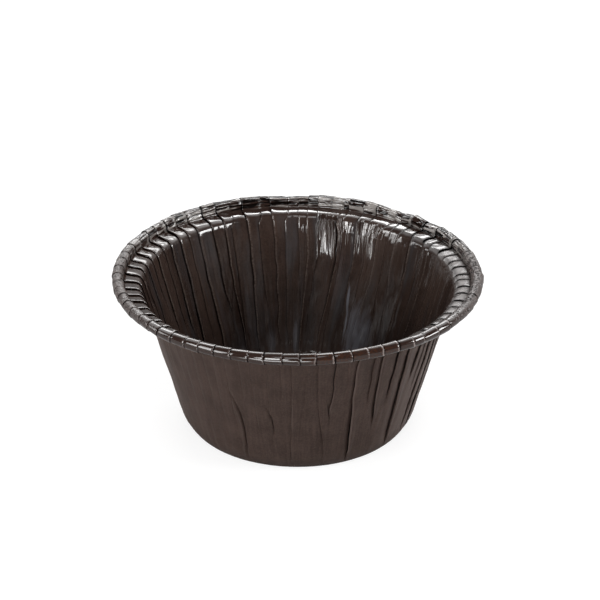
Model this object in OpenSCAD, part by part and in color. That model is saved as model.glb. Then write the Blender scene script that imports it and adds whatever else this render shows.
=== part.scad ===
// Pleated baking cup for a cupcake: one round sheet of film-lined paper, pressed into a cup
// with a flat base. The spare paper lies in knife pleats round the wall, all turned one way,
// and the edge is rolled outwards into a hollow curl that stiffens the mouth.
// Millimetres, +Z up. The origin is the middle of the flat base, on the table.

/* [Cup] */
// Width of the flat face it stands on
base_d = 47.5; // [42:0.5:54]
// Width over the curled rim
rim_d = 80; // [74:0.5:90]
// Height over the curled rim
height = 35.2; // [28:0.2:45]

/* [Foot] */
// Inside radius of the fold between base and wall
foot_r = 0.6; // [0.4:0.1:1.5]
// Lean of the wall where it leaves that fold, from upright
foot_lean = 33; // [28:1:40]
// Inside radius of the slow curve from the foot into the straight wall
foot_sweep_r = 14; // [8:0.5:20]

/* [Rim] */
// Radius of the shoulder between wall and ledge, on the inside face
shoulder_r = 1.5; // [1.2:0.1:2.5]
// Width of the flat ledge between the shoulder and the valley
ledge_w = 1.5; // [0.5:0.1:4]
// Radius of the valley between the ledge and the curl
valley_r = 1; // [0.6:0.1:1.5]
// Width of the curl, across its roll
curl_d = 2.6; // [2.2:0.1:4]
// How far the paper is rolled round the curl
curl_turn = 290; // [200:5:300]

/* [Paper and folds] */
// Thickness of one layer of paper with its film
paper_t = 0.2; // [0.15:0.01:0.24]
// Pleats round the cup
pleat_count = 70; // [40:1:74]
// Unevenness of the pleats, as a share of their spacing
unevenness = 0.1; // [0:0.01:0.15]
// Way up the paper from the base edge to where the folds are full
fold_start = 6; // [3:0.5:12]
// Width that a fold's edge takes to turn over
fold_edge_w = 0.15; // [0.08:0.01:0.25]
// Turn of the first fold from the front
first_fold = -1.2; // [-3:0.1:3]

/* [Hidden] */
paper_color = "#46392F";

// What each stretch of the section is divided into
foot_steps = 1;
sweep_steps = 2;
wall_steps = 2;
shoulder_steps = 3;
valley_steps = 2;
curl_steps = 8;

// The section follows the film, which is the inside face. Each point on it is
// [radius, height, way through the paper], the last as an angle from level.
function way(a) = [cos(a), sin(a)];
function hollow_arc(mid, r, a0, a1, steps, from = 1) =
    [for (i = [from:steps]) let (a = a0 + (a1 - a0) * i / steps) [each mid + r * way(a), a]];
function crown_arc(mid, r, a0, a1, steps, from = 1) =
    [for (i = [from:steps]) let (a = a0 + (a1 - a0) * i / steps) [each mid - r * way(a), a]];

base_r = base_d / 2;
curl_r = curl_d / 2;
down = -90;

// Middles of the arcs, from the base outwards
foot_mid = [base_r, paper_t + foot_r];
sweep_mid = foot_mid + (foot_r - foot_sweep_r) * way(-foot_lean);
curl_mid = [rim_d / 2 - curl_r, height - curl_r];
valley_mid = curl_mid - [curl_r + valley_r, 0];
shoulder_mid = valley_mid - [ledge_w, valley_r + shoulder_r];

// The straight wall touches the sweep on one side and the shoulder on the other
span = shoulder_mid - sweep_mid;
wall_way = atan2(span.y, span.x) - acos((foot_sweep_r + shoulder_r) / norm(span));
wall_foot = sweep_mid + foot_sweep_r * way(wall_way);
wall_head = shoulder_mid - shoulder_r * way(wall_way);

section = concat(
    hollow_arc(foot_mid, foot_r, down, -foot_lean, foot_steps, 0),
    hollow_arc(sweep_mid, foot_sweep_r, -foot_lean, wall_way, sweep_steps),
    [for (i = [1:wall_steps]) [each wall_foot + (wall_head - wall_foot) * i / wall_steps, wall_way]],
    crown_arc(shoulder_mid, shoulder_r, wall_way, down, shoulder_steps),
    hollow_arc(valley_mid, valley_r, down, 0, valley_steps, 0),
    crown_arc(curl_mid, curl_r, 0, -curl_turn, curl_steps));
rows = len(section);

// Way up the paper from the base edge to each point of the section
function step_len(i) = norm([section[i].x - section[i - 1].x, section[i].y - section[i - 1].y]);
climb = [for (i = 0, run = 0; i < rows; i = i + 1, run = run + (i < rows ? step_len(i) : 0)) run];

// A flat round sheet has more paper than the cup is round, and the pleats take up the rest.
// Each fold's share of the spacing follows from that, and its two further layers stand proud.
pitch = 360 / pleat_count;
function fold_share(i) = (base_r + climb[i] - section[i].x) / (2 * section[i].x);
function fold_rise(i) = 2 * paper_t * min(1, climb[i] / fold_start);
function fold_angle(k) = first_fold + pitch * (k + unevenness * sin(137.5 * k));

// The film's fold edge lies a fold's depth further round than the one outside
function film_turn(i) = fold_share(i) * pitch;
function paper_depth(i) = paper_t + fold_rise(i) * fold_share(i);

// A point at row i, turned a from the front and sunk by depth into the paper
function point_at(i, a, depth) =
    let (p = section[i], w = way(p[2]), r = p.x + depth * w.x)
    [r * sin(a), -r * cos(a), p.y + depth * w.y];

// A pleat's edge as two points: one before it turns over, and one after
function edge_points(i, a, before, after) =
    let (half_edge = fold_edge_w / section[i].x * 90 / PI)
    [point_at(i, a - half_edge, before), point_at(i, a + half_edge, after)];

film_points = [for (i = [0:rows - 1], k = [0:pleat_count - 1])
    each edge_points(i, fold_angle(k) + film_turn(i), 0, fold_rise(i))];
paper_points = [for (i = [0:rows - 1], k = [0:pleat_count - 1])
    each edge_points(i, fold_angle(k), paper_depth(i), paper_depth(i) + fold_rise(i))];

// Faces between two rings of points, turned over where the face looks the other way
round_count = 2 * pleat_count;
last_row = (rows - 1) * round_count;
outside = rows * round_count;
function band(low, high, over) =
    [for (j = [0:round_count - 1]) let (n = (j + 1) % round_count)
        each over ? [[low + j, high + n, low + n], [low + j, high + j, high + n]]
                  : [[low + j, low + n, high + n], [low + j, high + n, high + j]]];

film_faces = [for (i = [0:rows - 2]) each band(i * round_count, (i + 1) * round_count, false)];
paper_faces = [for (i = [0:rows - 2])
    each band(outside + i * round_count, outside + (i + 1) * round_count, true)];
edge_faces = band(last_row, outside + last_row, false);
base_faces = [[for (j = [round_count - 1:-1:0]) j], [for (j = [0:round_count - 1]) outside + j]];

module baking_cup() {
    color(paper_color)
        polyhedron(points = concat(film_points, paper_points),
            faces = concat(film_faces, paper_faces, edge_faces, base_faces), convexity = 10);
}

baking_cup();
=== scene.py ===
import math
import random
import bmesh
import bpy
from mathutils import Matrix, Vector


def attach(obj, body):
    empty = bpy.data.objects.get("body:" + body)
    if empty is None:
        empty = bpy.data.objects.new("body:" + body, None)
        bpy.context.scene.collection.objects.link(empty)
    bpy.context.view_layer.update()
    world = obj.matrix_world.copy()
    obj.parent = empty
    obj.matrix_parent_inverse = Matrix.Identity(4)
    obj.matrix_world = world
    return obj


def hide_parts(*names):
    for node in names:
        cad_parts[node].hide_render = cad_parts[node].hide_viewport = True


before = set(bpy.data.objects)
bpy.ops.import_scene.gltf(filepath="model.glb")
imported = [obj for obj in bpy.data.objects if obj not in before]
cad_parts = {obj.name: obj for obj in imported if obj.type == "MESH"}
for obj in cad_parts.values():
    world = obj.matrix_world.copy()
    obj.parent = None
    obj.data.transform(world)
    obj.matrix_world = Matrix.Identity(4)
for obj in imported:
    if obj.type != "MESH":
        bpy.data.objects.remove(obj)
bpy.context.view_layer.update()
print("frame loaded")

# Metres and degrees throughout. The cup stands on z = 0 with its front towards -Y.


class Wire:  # a socket of a node tree that can be used in ordinary arithmetic
    def __init__(self, tree, socket=None):
        self.tree, self.socket = tree, socket

    def make(self, kind, settings=None, values=None, out=0):
        node = self.tree.nodes.new(kind)
        for name, value in (settings or {}).items():
            setattr(node, name, value)
        for name, value in (values or {}).items():
            if isinstance(value, Wire):
                self.tree.links.new(value.socket, node.inputs[name])
            else:
                node.inputs[name].default_value = value
        return Wire(self.tree, node.outputs[out])

    def other(self, out):  # another output of the same node
        return Wire(self.tree, self.socket.node.outputs[out])

    def maths(self, operation, *values):
        return self.make("ShaderNodeMath", {"operation": operation}, dict(enumerate(values)))

    def __add__(self, value):
        return self.maths("ADD", self, value)

    def __sub__(self, value):
        return self.maths("SUBTRACT", self, value)

    def __mul__(self, value):
        return self.maths("MULTIPLY", self, value)

    def __truediv__(self, value):
        return self.maths("DIVIDE", self, value)

    def __mod__(self, value):
        return self.maths("FLOORED_MODULO", self, value)

    def __radd__(self, value):
        return self.maths("ADD", value, self)

    def __rsub__(self, value):
        return self.maths("SUBTRACT", value, self)

    def __rmul__(self, value):
        return self.maths("MULTIPLY", value, self)

    def __rtruediv__(self, value):
        return self.maths("DIVIDE", value, self)

    def floor(self):
        return self.maths("FLOOR", self)

    def sine(self):
        return self.maths("SINE", self)

    def cosine(self):
        return self.maths("COSINE", self)

    def most(self, value):
        return self.maths("MAXIMUM", self, value)

    def towards(self, value, share):  # self at share 0, value at share 1
        return self + (value - self) * share

    def ramp(self, low, high, start=0.0, end=1.0, smooth=False):
        kind = {"interpolation_type": "SMOOTHSTEP" if smooth else "LINEAR"}
        return self.make("ShaderNodeMapRange", kind, {"Value": self, "From Min": low, "From Max": high,
                                                      "To Min": start, "To Max": end})

    def vector(self, x, y, z):
        return self.make("ShaderNodeCombineXYZ", None, {0: x, 1: y, 2: z})

    def scaled(self, x, y, z):
        return self.make("ShaderNodeVectorMath", {"operation": "MULTIPLY"}, {0: self, 1: (x, y, z)})

    def noise(self, scale, detail=2.0, roughness=0.5):
        return self.make("ShaderNodeTexNoise", {"noise_dimensions": "3D"},
                         {"Vector": self, "Scale": scale, "Detail": detail, "Roughness": roughness}, 0)

    def blend(self, colourA, colourB):  # colours, with self as the factor
        return self.make("ShaderNodeMix", {"data_type": "RGBA"}, {0: self, 6: colourA, 7: colourB}, 2)

    def parts(self):  # its X, with Y and Z as other outputs
        return self.make("ShaderNodeSeparateXYZ", None, {0: self})

    def stored(self, name, out="Fac"):  # an attribute of the mesh
        return self.make("ShaderNodeAttribute", {"attribute_name": name}, None, out)

    def bump(self, depth, under=None, strength=1.0):  # self is the height, under is the bump below it
        values = {"Strength": strength, "Distance": depth, "Height": self}
        return self.make("ShaderNodeBump", None, {**values, "Normal": under} if under else values)


# The section through the paper, from the middle of the base to the free edge of the curl

cup = {
    "baseWidth": 0.0475,  # of the flat face it stands on
    "rimWidth": 0.080,  # over the curl
    "height": 0.0352,
    "footRadius": 0.0006,  # of the fold between base and wall
    "footLean": 33.0,  # of the wall where it leaves that fold, from upright
    "footSweepRadius": 0.014,  # of the slow curve from there into the straight wall
    "flareRadius": 0.007,  # the wall's head bends out slowly
    "flareLean": 26.0,
    "shoulderRadius": 0.0018,
    "ledgeWidth": 0.0015,
    "ledgeSlope": 7.0,  # down towards the middle
    "ledgeDrop": 0.001,  # from the middle of the curl down to the ledge
    "valleyRadius": 0.0004,  # between the ledge and the curl
    "curlWidth": 0.0026,
    "curlTurn": 290.0,  # how far the paper is rolled round
    "paper": 0.00006,  # thickness of the paper with its film
    "lift": 0.0008,  # how far the rim rises where it is pulled up most
    "liftTowards": -140.0,
}

# Rows of faces in each stretch of the section
sectionRows = {"base": 3, "foot": 3, "sweep": 4, "wall": 14, "flare": 4, "shoulder": 5, "ledge": 3,
               "valley": 3, "riser": 1, "curl": 22}


def way(degrees):
    return Vector((math.cos(math.radians(degrees)), math.sin(math.radians(degrees))))


def arc(mid, radius, start, end, steps):  # a negative radius bends the paper away from the film side
    turns = [start + (end - start) * count / steps for count in range(1, steps + 1)]
    return [(mid + radius * way(turn), turn) for turn in turns]


def straight(start, end, turn, steps):
    return [(start.lerp(end, count / steps), turn) for count in range(1, steps + 1)]


def paperSection():
    baseR, curlR, down = cup["baseWidth"] / 2, cup["curlWidth"] / 2, -90.0
    rows = sectionRows
    footMid = Vector((baseR, cup["paper"] + cup["footRadius"]))
    sweepMid = footMid + (cup["footRadius"] - cup["footSweepRadius"]) * way(-cup["footLean"])
    curlMid = Vector((cup["rimWidth"] / 2 - curlR, cup["height"] - curlR))
    riserFoot = curlMid - Vector((curlR, cup["ledgeDrop"] - cup["valleyRadius"]))
    valleyMid = riserFoot - Vector((cup["valleyRadius"], 0))
    ledgeWay = cup["ledgeSlope"] - 90.0
    ledgeOut = valleyMid + cup["valleyRadius"] * way(ledgeWay)
    across = cup["ledgeDrop"] + cup["ledgeWidth"] - cup["valleyRadius"]
    ledgeIn = ledgeOut - Vector((across, across * math.tan(math.radians(cup["ledgeSlope"]))))
    shoulderMid = ledgeIn + cup["shoulderRadius"] * way(ledgeWay)
    flareMid = shoulderMid + (cup["flareRadius"] - cup["shoulderRadius"]) * way(-cup["flareLean"])
    span = flareMid - sweepMid
    reach = (cup["footSweepRadius"] + cup["flareRadius"]) / span.length
    wallWay = math.degrees(math.atan2(span.y, span.x) - math.acos(reach))
    wallFoot = sweepMid + cup["footSweepRadius"] * way(wallWay)
    wallHead = flareMid - cup["flareRadius"] * way(wallWay)
    middle, baseEdge = Vector((0, cup["paper"])), Vector((baseR, cup["paper"]))
    return ([(middle, down)] + straight(middle, baseEdge, down, rows["base"])
            + arc(footMid, cup["footRadius"], down, -cup["footLean"], rows["foot"])
            + arc(sweepMid, cup["footSweepRadius"], -cup["footLean"], wallWay, rows["sweep"])
            + straight(wallFoot, wallHead, wallWay, rows["wall"])
            + arc(flareMid, -cup["flareRadius"], wallWay, -cup["flareLean"], rows["flare"])
            + arc(shoulderMid, -cup["shoulderRadius"], -cup["flareLean"], ledgeWay, rows["shoulder"])
            + straight(ledgeIn, ledgeOut, ledgeWay, rows["ledge"])
            + arc(valleyMid, cup["valleyRadius"], ledgeWay, 0.0, rows["valley"])
            + straight(riserFoot, curlMid - Vector((curlR, 0)), 0.0, rows["riser"])
            + arc(curlMid, -curlR, 0.0, -cup["curlTurn"], rows["curl"]))


def sectionClimb(section):  # way up the paper from the middle of the base to each point
    climb = [0.0]
    for (last, _), (here, _) in zip(section, section[1:]):
        climb.append(climb[-1] + (here - last).length)
    return climb


# Ways up the paper, from the middle of the base
wallStart = (0.0238, 0.0270)
curlStart = sectionClimb(paperSection())[-1 - sectionRows["curl"]]


# One pleat across, following the sheet. Each point is a share of the spacing, a share of the
# fold's depth, a turn of the fold's edge, and the layer it lies in on the wall, on the ledge and
# on the curl, where 0 is the innermost. Between two folds the single sheet lies at layer 1.

pleat = {
    "count": 70,
    "firstFold": -1.2,  # degrees
    "unevenBack": 2.2,  # how much less even the folds are further round
    "ledgeShut": 0.6,  # how far a fold's lips stand off on the ledge where the strips lie flat
    "layer": 0.00016,  # from one layer of a fold to the next
    "edge": 0.00010,  # how far a fold's edge bulges
    "settle": 0.0025,  # way up the paper over which the sheet comes off the base's level
    "growth": 0.0060,  # way up over which one fold opens
    "leastFold": 0.00030,  # width of the narrowest fold
    "sway": 0.0008,  # of the folds' edges, sideways
    "waves": 0.0006,  # slow, of the whole wall
    "ripple": 0.00022,  # across the strips
    "crush": 0.00045,  # of the roll, where it is crumpled
    "tileFlat": 0.00003,  # how much each strip is flattened along the curl
    "facet": 0.00028,  # and how uneven its roll is
    "seed": 11,
}

# What chance gives each fold: degrees, metres, and how far its lips stand off where 1 is one layer
chances = {
    "turned": (-0.45, 0.45),
    "shift": (-0.5, 0.5),
    "lean": (-1.6, 1.6),
    "open": (0.35, 1.70),
    "openSmooth": (0.40, 0.70),
    "start": (0.000, 0.014),
    "startSmooth": (0.008, 0.022),
    "curl": (0.7, 1.4),
    "curlFront": (0.60, 0.90),
    "ledge": (1.5, 2.1),
    "crown": (-0.00026, -0.00014),  # bow of a strip on the ledge
    "out": (-0.00007, 0.00007),
    "up": (-0.00007, 0.00007),
    "bow": (-0.00006, 0.00014),  # of a strip on the wall
}

# Where the folds differ, from fold to fold, counted to the right from the front one
sides = {
    "smooth": (-21, -1),  # pressed flat
    "front": (-27, 14),  # even on the curl, and further round some of its folds are left out
    "ledge": (-33, -8),  # the strips stand clear of each other on the ledge
    "bowed": (9, 25),  # and here they are bowed
}

# Folds that stand out, counted in the same way. Angles in degrees, lengths in metres.
# turned: its place all the way up, shift: its place on the wall, lean: its drift towards the base,
# open: how far its lips stand off, start: how high up it begins, rim: whether it goes on into the
# curl, curl and ledge: how far its lips stand off there, up and out: where its curl lies.
namedFolds = {
    0: {"shift": -0.6, "lean": -0.9, "open": 1.55, "start": 0.000},
    1: {"open": 0.50, "start": 0.018},
    2: {"shift": -1.1, "lean": 4.6, "open": 1.45, "start": 0.004},
    3: {"shift": -0.3, "lean": -1.6, "open": 1.75, "start": 0.013},
    4: {"shift": -0.4, "lean": 0.0, "open": 0.80, "start": 0.022},
    5: {"shift": -1.9, "lean": 1.9, "open": 3.20, "start": 0.000},
    6: {"open": 0.60, "start": 0.016},
    7: {"shift": -2.4, "lean": 2.6, "open": 2.30, "start": 0.009},
    8: {"shift": -0.6, "lean": -2.2, "open": 1.80, "start": 0.016, "rim": 0.0},
    9: {"shift": 0.4, "lean": 1.6, "open": 2.60, "start": 0.001},
    10: {"shift": 2.0, "lean": -2.4, "open": 1.90, "start": 0.019},
    11: {"open": 0.80, "start": 0.014},
    12: {"shift": -0.9, "lean": -0.8, "open": 2.60, "start": 0.003},
    13: {"open": 1.20},
    14: {"open": 1.20},
    15: {"open": 0.80},
    16: {"open": 1.00},
    20: {"shift": 0.6, "open": 1.6, "lean": 0.0},
    21: {"lean": 2.0, "open": 0.6},
    22: {"lean": 4.0, "open": 0.8},
    23: {"shift": -1.0, "open": 1.9, "start": 0.002, "lean": 5.0},
    24: {"open": 0.7, "lean": 5.0},
    25: {"turned": 1.2, "up": -0.00055, "shift": -0.2, "open": 1.9, "start": 0.002, "lean": 4.0},
    26: {"turned": 2.0, "up": 0.00010, "curl": 0.8, "shift": 1.8, "lean": -1.0, "open": 1.7},
    27: {"turned": 1.3, "up": -0.00090, "out": 0.00010, "curl": 2.6, "shift": 1.6, "lean": 3.0,
         "open": 0.7},
    28: {"rim": 0.0, "up": -0.00050, "shift": 1.2, "lean": 8.0, "open": 2.0, "start": 0.001},
    29: {"turned": 1.1, "up": -0.00020, "lean": 7.0, "open": 0.7},
    30: {"turned": 1.0, "lean": 6.5, "open": 0.9},
    31: {"turned": 1.3, "lean": 7.0, "open": 0.6},
    32: {"rim": 0.0, "shift": -1.8, "lean": 8.0, "open": 2.2, "start": 0.001},
    33: {"turned": 2.3, "lean": 6.0, "open": 0.8},
    34: {"turned": 0.8, "up": -0.00035, "lean": 4.0, "open": 1.6, "start": 0.001},
    -35: {"turned": -0.8, "up": -0.00040, "lean": 2.0, "open": 0.8},
    -34: {"rim": 0.0, "up": -0.00040, "lean": 1.5, "open": 0.7},
    -33: {"turned": -0.9, "up": -0.00035, "lean": 1.2, "open": 1.1},
    -32: {"rim": 0.0, "lean": 0.5, "open": 0.6},
    -31: {"turned": -1.0, "open": 1.3, "start": 0.001, "lean": 2.0},
    -30: {"rim": 0.0, "open": 0.6},
    -29: {"turned": -1.5, "open": 1.5, "start": 0.001, "lean": -1.6},
    -28: {"turned": -1.2, "open": 0.9, "curl": 0.35, "ledge": 1.0},
    -27: {"turned": 0.5, "open": 1.6, "start": 0.001, "lean": -1.2},
    -25: {"open": 1.4, "start": 0.001, "lean": 0.8},
}


def foldSection():
    outer = [(0.0, 0.0, 0.5, 1.50, 1.50, 1.50), (0.0, 0.0, -1.0, 1.75, 1.75, 1.75),
             (0.0, 0.0, 0.5, 2.0, 2.0, 2.0)]
    strip = [(0.15, 0.15, 0.0, 1.95, 1.95, 1.95), (0.28, 0.28, 0.0, 1.55, 1.35, 0.60),
             (0.42, 0.42, 0.0, 1.22, 0.75, 0.30), (0.68, 0.68, 0.0, 0.72, 0.30, 0.12),
             (0.92, 0.92, 0.0, 0.0, 0.0, 0.0)]
    inner = [(1.0, 1.0, -0.5, 0.0, 0.0, 0.0), (1.0, 1.0, 1.0, 0.25, 0.25, 0.25),
             (1.0, 1.0, -0.5, 0.50, 0.50, 0.50)]
    return outer + strip + inner


def guide(name, points, **attributes):  # a bare row of points that carries numbers for the tree
    mesh = bpy.data.meshes.new(name)
    mesh.from_pydata(points, [], [])
    for key, values in attributes.items():
        layer = mesh.attributes.new(key, "FLOAT", "POINT")
        layer.data.foreach_set("value", values)
    thing = bpy.data.objects.new(name, mesh)
    bpy.context.scene.collection.objects.link(thing)
    return thing


def sectionGuide():
    section = paperSection()
    points = [(place.x, 0, place.y) for place, _ in section]
    return guide("sectionGuide", points, climb=sectionClimb(section),
                 turn=[math.radians(turn) for _, turn in section])


def foldGuide():
    section = foldSection()
    return guide("foldGuide", [point[:3] for point in section],
                 layer=[point[3] for point in section], ledgeLayer=[point[4] for point in section],
                 curlLayer=[point[5] for point in section])


def pleatGuide():  # one point for each fold, with what is its own
    chance = random.Random(pleat["seed"])

    def some(name):
        return chance.uniform(*chances[name])

    names = ("turned", "shift", "lean", "open", "start", "rim", "curl", "ledge", "crown", "tone", "out",
             "up", "bow")
    rows = {name: [] for name in names}
    for number in range(pleat["count"]):
        toRight = number if number < pleat["count"] / 2 else number - pleat["count"]
        on = {side: low <= toRight <= high for side, (low, high) in sides.items()}
        own = {"turned": some("turned") * (1.0 if on["front"] else pleat["unevenBack"]),
               "shift": some("shift"), "lean": some("lean"),
               "open": some("openSmooth" if on["smooth"] else "open"),
               "start": some("startSmooth" if on["smooth"] else "start"),
               "rim": 1.0,
               "curl": some("curlFront" if on["front"] else "curl"),
               "ledge": some("ledge") if on["ledge"] else pleat["ledgeShut"],
               "crown": some("crown") if on["bowed"] else 0.0,
               "tone": chance.random(), "out": some("out"), "up": some("up"), "bow": some("bow")}
        own.update(namedFolds.get(toRight, {}))
        for name in names:
            turned = name in ("turned", "shift", "lean")
            rows[name].append(math.radians(own[name]) if turned else own[name])
    return guide("pleatGuide", [(0, 0, 0)] * pleat["count"], **rows)


def paperTree(sectionLine, foldLine, pleatLine, film):
    tree = bpy.data.node_groups.new("pleatedPaper", "GeometryNodeTree")
    sockets = [("Section", "NodeSocketObject", sectionLine), ("Fold", "NodeSocketObject", foldLine),
               ("Each pleat", "NodeSocketObject", pleatLine),
               ("Rows", "NodeSocketInt", len(sectionLine.data.vertices)),
               ("Pleats", "NodeSocketInt", pleat["count"]),
               ("Points in a pleat", "NodeSocketInt", len(foldLine.data.vertices)),
               ("First fold", "NodeSocketFloat", math.radians(pleat["firstFold"])),
               ("Base radius", "NodeSocketFloat", cup["baseWidth"] / 2),
               ("Climb to the curl", "NodeSocketFloat", curlStart),
               ("Height", "NodeSocketFloat", cup["height"]),
               ("Paper", "NodeSocketFloat", cup["paper"]),
               ("Lift", "NodeSocketFloat", cup["lift"]),
               ("Lift towards", "NodeSocketFloat", math.radians(cup["liftTowards"])),
               ("Layer", "NodeSocketFloat", pleat["layer"]),
               ("Edge", "NodeSocketFloat", pleat["edge"]),
               ("Settle", "NodeSocketFloat", pleat["settle"]),
               ("Growth", "NodeSocketFloat", pleat["growth"]),
               ("Flat of a tile", "NodeSocketFloat", pleat["tileFlat"]),
               ("Facet", "NodeSocketFloat", pleat["facet"]),
               ("Least fold", "NodeSocketFloat", pleat["leastFold"]),
               ("Film", "NodeSocketMaterial", film)]
    ids = {}
    for name, kind, value in sockets:
        ids[name] = (tree.interface.new_socket(name, in_out="INPUT", socket_type=kind).identifier, value)
    tree.interface.new_socket("Geometry", in_out="OUTPUT", socket_type="NodeSocketGeometry")
    start = tree.nodes.new("NodeGroupInput")
    given = {name: Wire(tree, start.outputs[name]) for name, _, _ in sockets}
    w = Wire(tree)

    # Which row and which point of which pleat a vertex is
    rows, columns = given["Rows"], given["Pleats"] * given["Points in a pleat"] + 1
    index = w.make("GeometryNodeInputIndex")
    row, column = index % rows, (index / rows + 0.00001).floor()
    number = (column / given["Points in a pleat"] + 0.00001).floor()
    inPleat = column % given["Points in a pleat"]

    def sampled(owner, name, at, kind="FLOAT"):
        shape = w.make("GeometryNodeObjectInfo", None, {"Object": given[owner]}, "Geometry")
        field = (w.make("GeometryNodeInputPosition") if name == "position" else
                 w.make("GeometryNodeInputNamedAttribute", {"data_type": kind}, {"Name": name}))
        return w.make("GeometryNodeSampleIndex", {"data_type": kind, "domain": "POINT"},
                      {"Geometry": shape, "Value": field, "Index": at})

    place = sampled("Section", "position", row, "FLOAT_VECTOR").parts()
    radius, height = place, place.other("Z")
    turn, climb = sampled("Section", "turn", row), sampled("Section", "climb", row)
    across = sampled("Fold", "position", inPleat, "FLOAT_VECTOR").parts()
    share, depthShare, edgeShare = across, across.other("Y"), across.other("Z")

    # A strip goes over from one fold's numbers to the next's
    def own(name):
        here = sampled("Each pleat", name, number % given["Pleats"])
        return here.towards(sampled("Each pleat", name, (number + 1) % given["Pleats"]), share)

    spacing = given["Pleats"].maths("DIVIDE", 2 * math.pi, given["Pleats"])
    flat = given["First fold"] + (number + share) * spacing + own("turned")
    along = number + share
    grown = climb - given["Base radius"]  # way up the paper from the base edge
    settled = grown.ramp(0.0, given["Settle"])
    onRim = height.ramp(given["Height"] * 0.88, given["Height"] * 0.93)
    onCurl = climb.ramp(given["Climb to the curl"] - 0.0012, given["Climb to the curl"])
    layer = (sampled("Fold", "layer", inPleat).towards(sampled("Fold", "ledgeLayer", inPleat), onRim)
             .towards(sampled("Fold", "curlLayer", inPleat), onCurl))
    backwards = 0.5 - flat.cosine() * 0.5
    drift = (own("shift") * height.ramp(given["Height"] * 0.83, given["Height"] * 0.93, 1.0, 0.0)
             + own("lean") * height.ramp(0.0, given["Height"] * 0.72, 1.0, 0.0, smooth=True))

    # How deep the fold is and how far its lips stand off, which comes and goes on the way up
    kept = (1.0 - (1.0 - own("rim")) * onRim)
    fade = (grown - own("start")).ramp(0.0, given["Growth"], smooth=True) * settled * kept
    fade = fade * fade.maths("GREATER_THAN", fade, 0.03)
    depth = ((climb - radius) * 0.5 * spacing).most(given["Least fold"]) * fade
    uneven = w.vector(along.floor() * 7.3, climb * 110.0, 3.0).noise(1.0, 1.0)
    wallOpen = own("open") * uneven.ramp(0.25, 0.75, 0.65, 1.35)
    onLedge = onRim * (1.0 - onCurl)
    open = wallOpen.towards(own("curl"), onRim).towards(own("ledge"), onLedge) * fade
    sway = (w.vector(along * 0.9, climb * 260.0, 0.0).noise(1.0, 1.0) - 0.5) * pleat["sway"] * settled
    overLedge = climb.ramp(given["Climb to the curl"] - 0.0046, given["Climb to the curl"] - 0.0004)
    arch = (overLedge * math.pi).sine() * own("crown") * -4.0
    around = depthShare * depth + edgeShare * given["Edge"] * fade + sway + arch
    angle = flat + drift + around / radius.most(0.001)

    # Slow waves of the whole wall, each strip's own bow, and small ripples across the strips
    ring = w.vector(flat.cosine(), flat.sine(), 0.0)
    slow = (ring.make("ShaderNodeVectorMath", {"operation": "ADD"},
                      {0: ring.scaled(5.0, 5.0, 0.0), 1: w.vector(0.0, 0.0, climb * 70.0)})
            .noise(1.0, 2.0) - 0.5) * pleat["waves"]
    slow = slow * grown.ramp(0.001, 0.010) * onRim.ramp(0.0, 1.0, 1.0, 0.3)
    ripple = (w.vector(along * 2.3, climb * 330.0, 5.0).noise(1.0, 2.0) - 0.5) * pleat["ripple"]
    ripple = ripple * (1.0 - (1.0 - backwards * 1.2) * onCurl) * (1.0 - onLedge * 0.75)
    crush = w.vector(along * 1.1, climb * 850.0, 9.0).noise(1.0, 1.0) - 0.5
    crumpled = backwards.ramp(0.45, 0.9).most(flat.sine().ramp(0.86, 0.97, 0.0, 0.8))
    ripple = ripple + crush * onCurl * crumpled * pleat["crush"]
    facet = w.vector(number * 5.7, climb * 900.0, 2.0).noise(1.0, 1.0) - 0.5  # flats along each roll
    ripple = ripple + facet * onCurl * given["Facet"]
    bow = own("bow") * (1.0 - onRim) + own("crown") * onLedge + given["Flat of a tile"] * onCurl
    bow = bow * settled * (share * math.pi).sine()
    rise = given["Layer"] * settled * (1.0 + (layer - 1.0) * open)
    sunk = given["Paper"] * 0.5 + rise + slow + bow + ripple * settled
    lifted = (((angle - given["Lift towards"]).cosine() + 1.0) * 0.5)
    lift = given["Lift"] * lifted * lifted * height.ramp(given["Height"] * 0.35, given["Height"] * 0.95)
    r = radius + sunk * turn.cosine() + own("out") * onCurl
    x, y = r * angle.sine(), r * angle.cosine() * -1.0
    z = height + sunk * turn.sine() + lift + own("up") * onCurl

    grid = w.make("GeometryNodeMeshGrid", None, {"Vertices X": columns, "Vertices Y": rows})
    sheet = w.make("GeometryNodeSetPosition", None, {"Geometry": grid, "Position": w.vector(x, y, z)})
    over = depth / (radius.most(0.001) * spacing)
    stripTone = sampled("Each pleat", "tone", number % given["Pleats"])
    for name, kind, value in (("paperMap", "FLOAT_VECTOR", w.vector(flat, climb, share)),
                              ("pleatTone", "FLOAT", own("tone")), ("foldOpen", "FLOAT", open),
                              ("stripTone", "FLOAT", stripTone),
                              ("filmGap", "FLOAT", share - over / (over + 1.0)),
                              ("paperGap", "FLOAT", 1.0 / (over + 1.0) - share)):
        sheet = w.make("GeometryNodeStoreNamedAttribute", {"data_type": kind, "domain": "POINT"},
                       {"Geometry": sheet, "Name": name, "Value": value})
    sheet = w.make("GeometryNodeMergeByDistance", None, {"Geometry": sheet, "Distance": 0.0000002})
    sheet = w.make("GeometryNodeFlipFaces", None, {"Mesh": sheet})  # the film side is the face
    sheet = w.make("GeometryNodeSetShadeSmooth", None, {"Geometry": sheet})
    sheet = w.make("GeometryNodeRealizeInstances", None, {"Geometry": sheet})
    sheet = w.make("GeometryNodeSetMaterial", None, {"Geometry": sheet, "Material": given["Film"]})
    end = tree.nodes.new("NodeGroupOutput")
    tree.links.new(sheet.socket, end.inputs[0])
    return tree, ids


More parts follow.
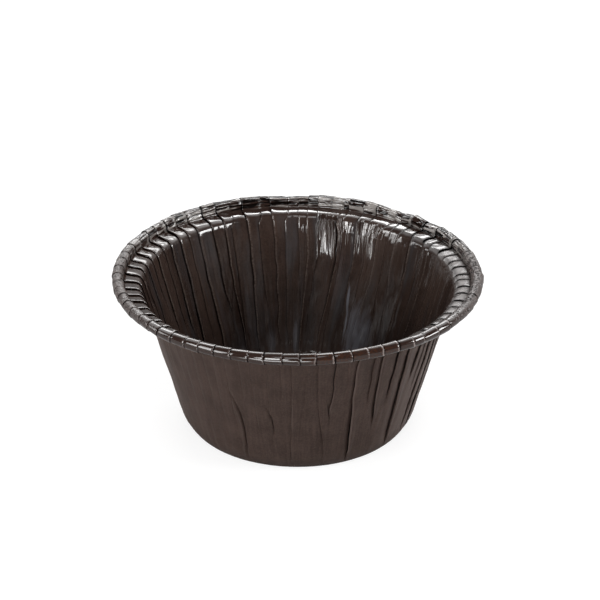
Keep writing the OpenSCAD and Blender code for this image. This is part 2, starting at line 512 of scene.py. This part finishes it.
def asPlainMesh(name, mesh, addModifier):  # a mesh with one modifier worked out on it
    thing = bpy.data.objects.new(name, mesh)
    bpy.context.scene.collection.objects.link(thing)
    addModifier(thing)
    graph = bpy.context.evaluated_depsgraph_get()
    made = bpy.data.meshes.new_from_object(thing.evaluated_get(graph), preserve_all_data_layers=True,
                                           depsgraph=graph)
    bpy.data.objects.remove(thing)
    return made


# Creases of the wall, each with its way down as angles from the front and heights in millimetres,
# how far the paper stands proud on its left, and how deep its groove is

creases = [
    {"way": [(-27.4, 20.6), (-26.2, 18.0), (-24.6, 14.6), (-23.7, 10.5), (-23.9, 5.5), (-24.8, 1.8)],
     "ridge": 0.20, "groove": 0.55},
    {"way": [(-13.4, 18.4), (-12.2, 16.8), (-10.9, 14.6), (-10.2, 12.0), (-10.1, 9.6)],
     "ridge": 0.18, "groove": 0.42},
    {"way": [(11.4, 19.0), (12.3, 17.2), (12.9, 15.0)], "ridge": 0.10, "groove": 0.35},
    {"way": [(96.0, 23.0), (98.5, 18.0), (99.5, 12.0), (99.0, 6.0)], "ridge": 0.18, "groove": 0.45},
    {"way": [(-150.0, 19.0), (-147.5, 14.0), (-147.0, 8.0)], "ridge": 0.18, "groove": 0.45},
    {"way": [(171.0, 25.0), (173.0, 20.0), (173.5, 14.0)], "ridge": 0.15, "groove": 0.40},
]
creaseShape = {  # millimetres, to the right of the crease
    "reach": 1.3,  # of what it moves, to each side
    "gather": 1.7,  # how much the mesh is drawn towards it
    "ridgeAt": -0.30,
    "ridgeWidth": 0.45,
    "grooveAt": 0.06,
    "grooveWidth": 0.13,
    "leastEdge": 0.0002,  # in metres, of the mesh's edges that are divided for it
}


def onCrease(point, way):  # how far a point lies to a crease's right, in mm, and its share of the way down
    radius = math.hypot(point.x, point.y) * 1000.0
    angle, height = math.degrees(math.atan2(point.x, -point.y)), point.z * 1000.0
    if not way[-1][1] - 1.0 < height < way[0][1] + 1.0:
        return None
    height = min(max(height, way[-1][1]), way[0][1])
    for (high, low) in zip(way, way[1:]):
        if low[1] <= height <= high[1]:
            part = (high[1] - height) / (high[1] - low[1])
            middle = high[0] + (low[0] - high[0]) * part
            aside = math.radians((angle - middle + 180.0) % 360.0 - 180.0) * radius
            return aside, (way[0][1] - height) / (way[0][1] - way[-1][1])
    return None


def pressCreases(mesh):
    shape, reach = creaseShape, creaseShape["reach"]
    work = bmesh.new()
    work.from_mesh(mesh)
    for crease in creases:
        near = []
        for face in work.faces:
            spot = onCrease(face.calc_center_median(), crease["way"])
            if spot and abs(spot[0]) < reach:
                near.append(face)
        edges = {edge for face in near for edge in face.edges if edge.calc_length() > shape["leastEdge"]}
        bmesh.ops.subdivide_edges(work, edges=list(edges), cuts=2, use_grid_fill=True)
        for vertex in work.verts:
            spot = onCrease(vertex.co, crease["way"])
            if not spot or abs(spot[0]) > reach:
                continue
            aside, down = spot
            ends = math.sin(math.pi * min(max(down, 0.0), 1.0)) ** 0.5
            edge = 1.0 - (abs(aside) / reach) ** 2
            pulled = math.copysign(reach * (abs(aside) / reach) ** shape["gather"], aside)
            ridge = crease["ridge"] * math.exp(-((pulled - shape["ridgeAt"]) / shape["ridgeWidth"]) ** 2)
            groove = math.exp(-((pulled - shape["grooveAt"]) / shape["grooveWidth"]) ** 2)
            groove = crease["groove"] * groove
            outward = Vector((vertex.co.x, vertex.co.y, 0)).normalized()
            tangent = Vector((-outward.y, outward.x, 0))
            vertex.co += tangent * (pulled - aside) * ends * 0.001
            vertex.co += outward * (ridge - groove) * edge * ends * 0.001
    work.to_mesh(mesh)
    work.free()


def makePaper(film, plain):
    guides = (sectionGuide(), foldGuide(), pleatGuide())
    tree, ids = paperTree(*guides, film)

    def addFolds(thing):
        folds = thing.modifiers.new("folds", "NODES")
        folds.node_group = tree
        for identifier, value in ids.values():
            folds[identifier] = value

    def addThickness(thing):
        thickness = thing.modifiers.new("thickness", "SOLIDIFY")
        thickness.thickness = cup["paper"]
        thickness.offset = 0.0
        thickness.material_offset = 1
        thickness.material_offset_rim = 1

    sheet = asPlainMesh("paperSheet", bpy.data.meshes.new("paperSheet"), addFolds)
    for guideLine in guides:
        bpy.data.objects.remove(guideLine)
    pressCreases(sheet)
    sheet.materials.clear()
    sheet.materials.append(film)
    sheet.materials.append(plain)
    mesh = asPlainMesh("paperShell", sheet, addThickness)
    mesh.name = "bakingCupPaper"
    paper = bpy.data.objects.new("bakingCupPaper", mesh)
    bpy.context.scene.collection.objects.link(paper)
    return paper


# Finishes

def newMaterial(name):
    material = bpy.data.materials.new(name)
    material.use_nodes = True
    tree = material.node_tree
    tree.nodes.clear()
    return material, Wire(tree)


def finishMaterial(w, shader):
    end = w.tree.nodes.new("ShaderNodeOutputMaterial")
    w.tree.links.new(shader.socket, end.inputs["Surface"])


filmLook = {
    "colour": (0.064, 0.0415, 0.0335, 1),
    "darker": (0.024, 0.0145, 0.0115, 1),
    "lip": (0.105, 0.078, 0.066, 1),  # painted highlight along the folds' edges
    "rimLip": (0.210, 0.170, 0.158, 1),  # painted highlight where the folds' edges cross the curl
    "shoulder": (0.088, 0.067, 0.060, 1),  # painted light on the shoulder at both sides
    "rim": (0.0200, 0.0105, 0.0080, 1),
    "warm": (0.037, 0.0148, 0.0080, 1),  # painted warm light at the front of the curl, to the right
    "rubbed": (0.056, 0.042, 0.038, 1),  # at the sides of the rim
    "rubbedRoughness": 0.46,
    "rolled": (0.290, 0.268, 0.252, 1),  # painted highlight in pale fine lines along the back of the curl
    "haze": (0.050, 0.051, 0.056, 1),  # where the film stands off the paper
    # painted reflection, low down inside
    "paintedReflection": (0.190, 0.190, 0.215, 1),
    "black": (0.0, 0.0, 0.0, 1),  # painted shade between the layers, in cracks and lines, and on the inner wall's sides
    "dimRight": 0.42,  # painted shade: how much darker the wall is inside at the right
    "dimLeft": 0.30,
    "roughness": 0.05,
    "unevenShine": 1.9,  # how much rougher it gets in places
    "shine": 0.42,
    "crinkle": 0.00012,  # height of the creases in the film, in metres
    "dent": 0.00060,
    "bend": 15.0,  # how the film bends away at the head of the wall, one over metres
    "headHeight": 0.0145,  # how far below the curl that bend begins
    "curlCrinkle": 0.00026,
}

# How fine each grain is: one over metres, or one over radians round the cup, metres up it and pleats
filmGrain = {
    "fibres": 2200.0,
    "mottle": 260.0,
    "warm": 2300.0,
    "rimLip": 1100.0,
    "wearAndSheen": 700.0,
    "gloss": 900.0,
    "base": 120.0,
    "haze": (13.0, 45.0, 0.0),
    "torn": (30.0, 160.0, 3.0),
    "narrowCreases": (32.0, 40.0, 0.0),
    "broadCreases": (15.0, 120.0, 0.0),
    "dents": (7.0, 95.0, 7.0),
    "ragged": (60.0, 60.0, 2.0),
    "crushed": (22.0, 1500.0, 0.0),
}

# Where something begins or ends, fading, on the way up the paper, in metres from the curl's start
stretches = {
    "shoulder": (-0.0056, -0.0046),
    "shoulderEnd": (-0.0036, -0.0030),
    "dentsEnd": (-0.0075, -0.0058),
    "rim": (-0.0050, -0.0038),
    "ledgeInnerEnd": (-0.0037, -0.0029),
    "ledgeOuterEnd": (-0.0019, -0.0013),
    "riser": (-0.0012, -0.0007),
    "curl": (-0.0008, 0.0),
    "cracksEnd": (0.0022, 0.0028),
}

# Painted reflections low down inside: angle from the front, height, and reach both
# ways, in degrees and millimetres, how thick it is, and its drift in degrees for each millimetre up
paintedReflections = [
    (144.0, 6.5, 7.0, 9.0, 0.80, 0.25),
    (151.5, 10.5, 0.75, 8.5, 0.85, 0.27),
    (179.9, 4.6, 1.2, 5.0, 0.45, 0.0),
    (193.0, 4.0, 2.5, 3.5, 0.22, 0.0),
    (203.0, 11.0, 1.6, 9.0, 0.10, 0.0),
    (218.0, 12.0, 1.6, 9.0, 0.08, 0.0),
    (160.0, 20.0, 2.5, 9.0, 0.12, 0.2),
]


def filmPaper():
    material, w = newMaterial("filmPaper")
    at = w.make("ShaderNodeTexCoord", None, None, "Object")
    flat, height = w.stored("paperMap", "Vector"), at.parts().other("Z")
    tone, strip = w.stored("pleatTone"), w.stored("stripTone")
    opened, besideEdge = w.stored("foldOpen"), w.stored("filmGap")
    part = flat.parts()
    turned, climb, share = part, part.other("Y"), part.other("Z")
    sideways, forwards = turned.sine(), turned.cosine()  # 1 at the right, 1 at the front
    backwards = 0.5 - forwards * 0.5

    def above(name, place=climb):
        low, high = stretches[name]
        return place.ramp(curlStart + low, curlStart + high)

    def below(name, place=climb):
        low, high = stretches[name]
        return place.ramp(curlStart + low, curlStart + high, 1.0, 0.0)

    onWall, onRim, onCurl, onRiser = climb.ramp(*wallStart), above("rim"), above("curl"), above("riser")

    # The paper under the film: fibres, mottle and a tone for each strip, with painted highlights, painted
    # reflections, painted light and painted shade laid over them
    fibres = at.noise(filmGrain["fibres"], 3.0, 0.6)
    cloudy = at.noise(filmGrain["mottle"], 4.0, 0.6)
    shade = (tone.towards(0.5, 1.0 - onWall) * 0.30 + cloudy * 0.40 + fibres * 0.30).ramp(0.30, 0.70)
    colour = shade.blend(filmLook["darker"], filmLook["colour"])
    # Painted highlight along the folds' edges on the inside wall
    lip = share.ramp(0.86, 0.97) * onWall * (1.0 - onRim) * opened.ramp(0.5, 1.4)
    colour = (lip * fibres.ramp(0.30, 0.60)).blend(colour, filmLook["lip"])
    hazy = flat.scaled(*filmGrain["haze"]).noise(1.0, 3.0, 0.55).ramp(0.50, 0.72) * (1.0 - onRim) * onWall
    colour = (hazy * 0.55).blend(colour, filmLook["haze"])
    # Painted reflections low down inside
    paintedReflection = onWall * 0.0
    torn = (flat.scaled(*filmGrain["torn"]).noise(1.0, 3.0, 0.6) - 0.5) * 2.2
    for angle, level, wide, high, thick, drift in paintedReflections:
        over = (height - level * 0.001) / (high * 0.001)
        aside = (turned - math.radians(angle) - over * math.radians(drift * high)) / math.radians(wide)
        paintedReflection = paintedReflection.most((1.0 - aside * aside - over * over + torn).ramp(0.0, 1.0) * thick)
    colour = (paintedReflection * onWall).blend(colour, filmLook["paintedReflection"])
    # Painted light: the shoulder is lighter at both sides
    atSides = sideways.ramp(-0.50, -0.90).most(sideways.ramp(0.70, 0.95, 0.0, 0.5))
    shoulder = above("shoulder") * below("shoulderEnd") * atSides
    colour = (shoulder * 0.75).blend(colour, filmLook["shoulder"])
    colour = (onRim * 0.40 + onCurl * 0.50).blend(colour, filmLook["rim"])
    # Painted shade on the inner wall's sides
    dim = (sideways.ramp(0.35, 0.80, 0.0, filmLook["dimRight"])
           .most(sideways.ramp(-0.25, -0.75, 0.0, filmLook["dimLeft"])))
    colour = (dim * onWall * (1.0 - onRim)).blend(colour, filmLook["black"])
    # Painted warm light on the front of the curl, to the right
    warm = onCurl * turned.ramp(-0.02, 0.10) * turned.ramp(0.45, 0.62, 1.0, 0.0)
    warm = warm * at.noise(filmGrain["warm"], 2.0, 0.6).ramp(0.47, 0.58)
    colour = warm.blend(colour, filmLook["warm"])
    # Painted highlight where the folds' edges cross the curl
    rimLip = (share.ramp(0.92, 0.97) * onCurl * backwards.ramp(0.35, 0.65, 1.0, 0.0)
              * sideways.ramp(-0.05, 0.12, 0.25, 0.9))
    rimLip = rimLip * at.noise(filmGrain["rimLip"], 2.0, 0.6).ramp(0.40, 0.56)
    colour = rimLip.blend(colour, filmLook["rimLip"])

    # The rim's sides are rubbed, and fine lines run along the back of its roll, painted pale as highlight
    # and black as shade
    wearAndSheen = at.noise(filmGrain["wearAndSheen"], 3.0, 0.6)
    rubbed = (sideways.ramp(0.76, 0.94) * forwards.ramp(-0.45, -0.20) * onRim
              + sideways.ramp(-0.72, -0.95) * forwards.ramp(-0.45, -0.15) * onCurl)
    rubbed = rubbed * wearAndSheen.ramp(0.30, 0.50)
    colour = (rubbed * 0.85).blend(colour, filmLook["rubbed"])
    # Cracks at the right of the roll: painted black as shade, and pressed into the bump
    apart = at.noise(filmGrain["wearAndSheen"], 2.0, 0.6) - 0.5
    cracks = (apart.maths("ABSOLUTE", apart).ramp(0.012, 0.035, 1.0, 0.0) * sideways.ramp(0.80, 0.92)
              * wearAndSheen.ramp(0.58, 0.48) * onRiser * below("cracksEnd"))
    colour = (cracks * 0.9).blend(colour, filmLook["black"])
    rolls = w.vector(turned * 7.0 + strip * 9.0, climb * 1500.0, strip * 5.0).noise(1.0, 1.0, 0.5)
    atRight = sideways.ramp(0.0, 0.5) * backwards.ramp(0.52, 0.70)
    lined = backwards.ramp(0.52, 0.85).most(atRight) * onRiser
    smooth = strip.ramp(0.62, 0.64) * lined * share.ramp(0.50, 0.46)  # pale patches without lines
    colour = (smooth * 0.65).blend(colour, filmLook["rolled"])
    lined = lined * (1.0 - smooth * 0.7)
    # Painted highlight and painted shade along the fine lines of the roll
    colour = (rolls.ramp(0.55, 0.59) * lined * 0.85).blend(colour, filmLook["rolled"])
    colour = (rolls.ramp(0.47, 0.43) * lined * 0.8).blend(colour, filmLook["black"])

    # Painted shade: black where shade falls between the layers, in cracks, in the lines along the roll, at
    # the seams of the ledge's strips at the right, and at the ends of the ledge's strips
    deep = besideEdge.ramp(0.0, 0.09, 0.75, 0.0) * opened.ramp(0.5, 1.5) * onWall * (1.0 - onRim)
    deep = deep.most(besideEdge.ramp(0.03, 0.09, 1.0, 0.0) * opened.ramp(0.15, 0.5) * onRim)
    scales = share.ramp(0.84, 0.90) * onRim * (1.0 - onCurl) * sideways.ramp(0.45, 0.75)
    deep = deep.most(scales * 0.9).most(cracks * 0.9).most(rolls.ramp(0.45, 0.41) * lined * 0.35)
    wavy = climb + (wearAndSheen - 0.5) * 0.0012
    ends = below("ledgeInnerEnd", wavy) + above("ledgeOuterEnd", wavy)
    deep = deep.most(ends * onRim * (1.0 - onCurl) * sideways.ramp(0.50, 0.75) * 0.5)

    # Creases down the wall, a calm base, and fine lines along the curl that grow towards the back
    narrow = flat.scaled(*filmGrain["narrowCreases"]).noise(1.0, 2.0, 0.5)
    broad = flat.scaled(*filmGrain["broadCreases"]).noise(1.0, 2.0, 0.5)
    calm = at.noise(filmGrain["base"], 2.0, 0.5)
    wall = ((narrow + broad * 1.1) * (1.0 - onRim) * onWall
            + calm * (1.0 - onWall) * 0.7).bump(filmLook["crinkle"])
    streaked = sideways.ramp(-0.06, 0.03) * sideways.ramp(0.60, 0.46) * backwards.ramp(0.5, 0.7)
    dents = flat.scaled(*filmGrain["dents"]).noise(1.0, 1.0, 0.5) * climb.ramp(0.0380, 0.0480)
    dents = dents * tone.ramp(0.2, 0.6) * below("dentsEnd")
    wall = (dents * (streaked * 0.8 + 0.2)).bump(filmLook["dent"], wall)
    head = (climb - (curlStart - filmLook["headHeight"])).most(0.0)
    ragged = flat.scaled(*filmGrain["ragged"]).noise(1.0, 1.0).ramp(0.35, 0.65, 0.25, 1.35)
    bend = head * head * strip.ramp(0.42, 0.72) * streaked * ragged * (1.0 - onRim)
    wall = bend.bump(-filmLook["bend"], wall)
    crushed = flat.scaled(*filmGrain["crushed"]).noise(1.0, 1.0, 0.5)
    roll = (rolls * 2.4 + crushed) * backwards.ramp(0.35, 0.85, 0.02, 1.0) - cracks * 0.8
    roll = roll + (wearAndSheen + fibres * 0.4) * rubbed * 0.8
    bump = (roll * onRiser).bump(filmLook["curlCrinkle"], wall)
    roughness = at.noise(filmGrain["gloss"], 3.0, 0.6).ramp(
        0.35, 0.65, filmLook["roughness"], filmLook["roughness"] * filmLook["unevenShine"])
    roughness = roughness.towards(filmLook["rubbedRoughness"], rubbed)
    glossy = w.make("ShaderNodeBsdfPrincipled", None, {
        "Base Color": colour, "Roughness": roughness, "Specular IOR Level": filmLook["shine"],
        "Normal": bump})
    shaded = w.make("ShaderNodeBsdfDiffuse", None, {"Color": filmLook["black"]})
    finishMaterial(w, w.make("ShaderNodeMixShader", None, {0: deep, 1: glossy, 2: shaded}))
    return material


plainLook = {
    "colour": (0.0510, 0.0330, 0.0272, 1),
    "darker": (0.0295, 0.0186, 0.0148, 1),
    "lip": (0.075, 0.054, 0.047, 1),  # along the folds' outer edges, lighter partly from wear and partly as painted highlight
    "wearAndSheen": (0.112, 0.086, 0.078, 1),  # painted light, lighter at both sides of the wall
    "sheenRight": 0.80,
    "sheenLeft": 0.40,
    "black": (0.0, 0.0, 0.0, 1),
    "gap": 0.85,  # painted shade: how much darker it gets under the folds' edges
    "gapRight": 0.25,  # share of that at the right
    "roughness": 0.58,
    "shine": 0.14,
    "fibre": 0.00004,  # height of the fibres, in metres
    "fibres": 2600.0,  # how fine they are, one over metres
    "mottle": 240.0,
    "streaks": (75.0, 90.0, 0.0),
}


def plainPaper():
    material, w = newMaterial("plainPaper")
    at = w.make("ShaderNodeTexCoord", None, None, "Object")
    flat = w.stored("paperMap", "Vector")
    part = flat.parts()
    sideways, climb, share = part.sine(), part.other("Y"), part.other("Z")
    onWall = climb.ramp(0.0245, 0.0290)
    fibres = at.noise(plainLook["fibres"], 4.0, 0.65)
    cloudy = at.noise(plainLook["mottle"], 4.0, 0.65)
    streaks = flat.scaled(*plainLook["streaks"]).noise(1.0, 3.0, 0.65)
    tone = cloudy * 0.36 + fibres * 0.38 + streaks.towards(0.5, 1.0 - onWall) * 0.26
    colour = tone.ramp(0.42, 0.58).blend(plainLook["darker"], plainLook["colour"])
    opened = w.stored("foldOpen")
    # Lighter outer fold edges: partly wear, partly painted highlight
    lip = share.ramp(0.0, 0.07, 1.0, 0.0) * onWall * opened.ramp(1.3, 2.4)
    colour = lip.blend(colour, plainLook["lip"])
    # Painted light: the outer wall is lighter at both sides
    wearAndSheen = (sideways.ramp(0.62, 0.95, 0.0, plainLook["sheenRight"])
            .most(sideways.ramp(-0.90, -0.99, 0.0, plainLook["sheenLeft"])))
    colour = (wearAndSheen * onWall).blend(colour, plainLook["wearAndSheen"])
    # Painted shade under the folds' edges
    under = w.stored("paperGap").ramp(0.0, 0.07, 1.0, 0.0)
    depth = sideways.ramp(0.60, 0.95, plainLook["gap"], plainLook["gap"] * plainLook["gapRight"])
    colour = (under * onWall * opened.ramp(1.0, 1.6) * depth).blend(colour, plainLook["black"])
    bump = (fibres + streaks * onWall * 1.5).bump(plainLook["fibre"], strength=0.5)
    finishMaterial(w, w.make("ShaderNodeBsdfPrincipled", None, {
        "Base Color": colour, "Roughness": plainLook["roughness"],
        "Specular IOR Level": plainLook["shine"], "Normal": bump}))
    return material


paper = makePaper(filmPaper(), plainPaper())
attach(paper, "root")
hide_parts("baking_cup")
print("paper made:", len(paper.data.polygons), "faces")


# Studio: pale floor, white backdrop, a dimmer room on the camera's side, soft lamps

studio = {
    "distance": 0.4267,  # from the camera to what it looks at
    "elevation": 26.67,
    "aimHeight": 0.02773,
    "aimSide": 0.00052,
    "lens": 117.7,
    "sensor": 36.0,
    "floorSize": 6.0,
    "floorDrop": 0.00005,  # keeps the floor clear of the base's own underside
    "floor": 0.68,
    "shadow": 0.32,  # how much of the floor's own shading the camera sees
    "white": 1.13,  # how bright the floor is for the camera
    "patch": 16.0,  # a bright patch of the table in front, which only the gloss shows
    "patchNear": (0.11, 0.14),  # where it begins and ends, fading, in metres in front
    "patchFar": (0.26, 0.30),
    "patchLeft": (-0.65, -0.55),  # and to the sides, as shares of that
    "patchRight": (0.02, 0.06),
    "sky": 0.44,
    "backdrop": 0.85,  # what a glossy surface sees behind the cup
    "room": 0.10,  # and on the camera's side
    "glow": 3.0,  # a wide glow behind, above the backdrop
    "glowSides": (95.0, 140.0),
    "glowLow": (0.34, 0.48),  # heights of its edges, as sines of the elevation
    "glowTop": (0.78, 0.94),
    "paneEdge": 1.5,  # how softly the panes end sideways, in degrees
    "paneFade": 0.03,  # and upwards, as a sine
}


def makeFloor():
    half = studio["floorSize"] / 2
    mesh = bpy.data.meshes.new("studioFloor")
    level = -studio["floorDrop"]
    corners = [(-half, -half, level), (half, -half, level), (half, half, level), (-half, half, level)]
    mesh.from_pydata(corners, [], [(0, 1, 2, 3)])
    material, w = newMaterial("studioFloor")
    path = w.make("ShaderNodeLightPath")
    colour = path.blend((studio["floor"],) * 3 + (1,), (1.0, 1.0, 1.0, 1))
    pale = w.make("ShaderNodeBsdfDiffuse", None, {"Color": colour})
    spot = w.make("ShaderNodeTexCoord", None, None, "Object").parts()
    ahead = spot.other("Y") * -1.0
    aside = spot / ahead
    sunlit = (ahead.ramp(*studio["patchNear"]) * ahead.ramp(*studio["patchFar"], 1.0, 0.0)
              * aside.ramp(*studio["patchLeft"]) * aside.ramp(*studio["patchRight"], 1.0, 0.0))
    glossy = path.other("Is Glossy Ray")
    strength = glossy.ramp(0.0, 1.0, studio["white"], studio["patch"])
    white = w.make("ShaderNodeEmission", None, {"Color": (1.0, 1.0, 1.0, 1), "Strength": strength})
    seen = path * (1.0 - studio["shadow"]) + glossy * sunlit
    finishMaterial(w, w.make("ShaderNodeMixShader", None, {0: seen, 1: pale, 2: white}))
    mesh.materials.append(material)
    floor = bpy.data.objects.new("studioFloor", mesh)
    bpy.context.scene.collection.objects.link(floor)


# Brighter panes that only the gloss shows: azimuth, elevation, half width and half height in
# degrees, and brightness

panes = {
    "front": (-19.0, 20.0, 9.0, 10.0, 15.0),
    "left": (-58.0, 27.0, 11.0, 14.0, 11.0),
    "right": (81.0, 19.0, 13.0, 9.0, 12.0),
    "behind": (180.0, 26.0, 40.0, 3.2, 6.0),
}


def makeWorld():
    world = bpy.data.worlds.new("studioWorld")
    world.use_nodes = True
    tree = world.node_tree
    tree.nodes.clear()
    w = Wire(tree)
    path = w.make("ShaderNodeLightPath")
    shiny = path.other("Is Glossy Ray").most(path.other("Is Transmission Ray"))
    towards = w.make("ShaderNodeTexCoord").parts()
    behind = towards.other("Y").ramp(0.15, 0.70, smooth=True)
    azimuth = towards.maths("ARCTAN2", towards, towards.other("Y") * -1.0)
    height = towards.other("Z")
    near, far = (math.radians(turn) for turn in studio["glowSides"])
    glow = (azimuth.maths("ABSOLUTE", azimuth).ramp(near, far, smooth=True)
            * height.ramp(*studio["glowLow"], smooth=True)
            * height.ramp(*studio["glowTop"], 1.0, 0.0, smooth=True))
    backdrop = height.ramp(0.05, 0.45, 0.35, 1.0) * studio["backdrop"]
    glossy = studio["room"] * (1.0 - behind) + backdrop * behind + glow * studio["glow"]
    edge, fade = studio["paneEdge"], studio["paneFade"]
    for middle, level, wide, high, bright in panes.values():
        outer, inner = math.cos(math.radians(wide + edge)), math.cos(math.radians(wide - edge))
        low, top = math.sin(math.radians(level - high)), math.sin(math.radians(level + high))
        side = (azimuth - math.radians(middle)).cosine().ramp(outer, inner)
        pane = side * height.ramp(low, low + fade) * height.ramp(top - fade, top, 1.0, 0.0)
        glossy = glossy + pane * bright
    strength = (shiny * (glossy - studio["sky"]) + studio["sky"]).towards(1.0, path)
    light = w.make("ShaderNodeBackground", None, {"Color": (1.0, 1.0, 1.0, 1), "Strength": strength})
    end = tree.nodes.new("ShaderNodeOutputWorld")
    tree.links.new(light.socket, end.inputs["Surface"])
    bpy.context.scene.world = world


# Softboxes, each seen from the cup: azimuth to the right of the camera and elevation in degrees,
# distance, width and height in metres, and how bright its face is where 1 is white

softboxes = {
    "behind": (178.0, 41.0, 0.75, 0.62, 0.07, 15.0),
    "frontWindow": (-19.0, 15.0, 0.75, 0.26, 0.24, 8.5),
    "leftWindow": (-58.0, 16.0, 0.75, 0.30, 0.24, 8.0),
    "farLeftWindow": (-92.0, 18.0, 0.75, 0.14, 0.26, 7.5),
    "right": (80.0, 21.0, 0.80, 0.34, 0.26, 13.0),
    "overFront": (0.0, 62.0, 0.75, 0.30, 0.30, 4.0),
}


def makeLamp(name, azimuth, elevation, distance, width, height, brightness):
    data = bpy.data.lights.new(name, "AREA")
    data.shape, data.size, data.size_y = "RECTANGLE", width, height
    data.energy = brightness * math.pi * width * height
    around, up = math.radians(azimuth), math.radians(elevation)
    lamp = bpy.data.objects.new(name, data)
    level = distance * math.cos(up)
    lamp.location = (level * math.sin(around), -level * math.cos(around), distance * math.sin(up))
    lamp.rotation_euler = (math.pi / 2 - up, 0.0, around)
    bpy.context.scene.collection.objects.link(lamp)


def makeCamera():
    data = bpy.data.cameras.new("studioCamera")
    data.lens, data.sensor_width = studio["lens"], studio["sensor"]
    camera = bpy.data.objects.new("studioCamera", data)
    rise = math.radians(studio["elevation"])
    camera.location = (studio["aimSide"], -studio["distance"] * math.cos(rise),
                       studio["aimHeight"] + studio["distance"] * math.sin(rise))
    camera.rotation_euler = (math.pi / 2 - rise, 0.0, 0.0)
    bpy.context.scene.collection.objects.link(camera)
    bpy.context.scene.camera = camera


makeFloor()
makeWorld()
for name, numbers in softboxes.items():
    makeLamp(name, *numbers)
makeCamera()
bpy.context.scene.view_settings.view_transform = "Standard"
print("studio made")
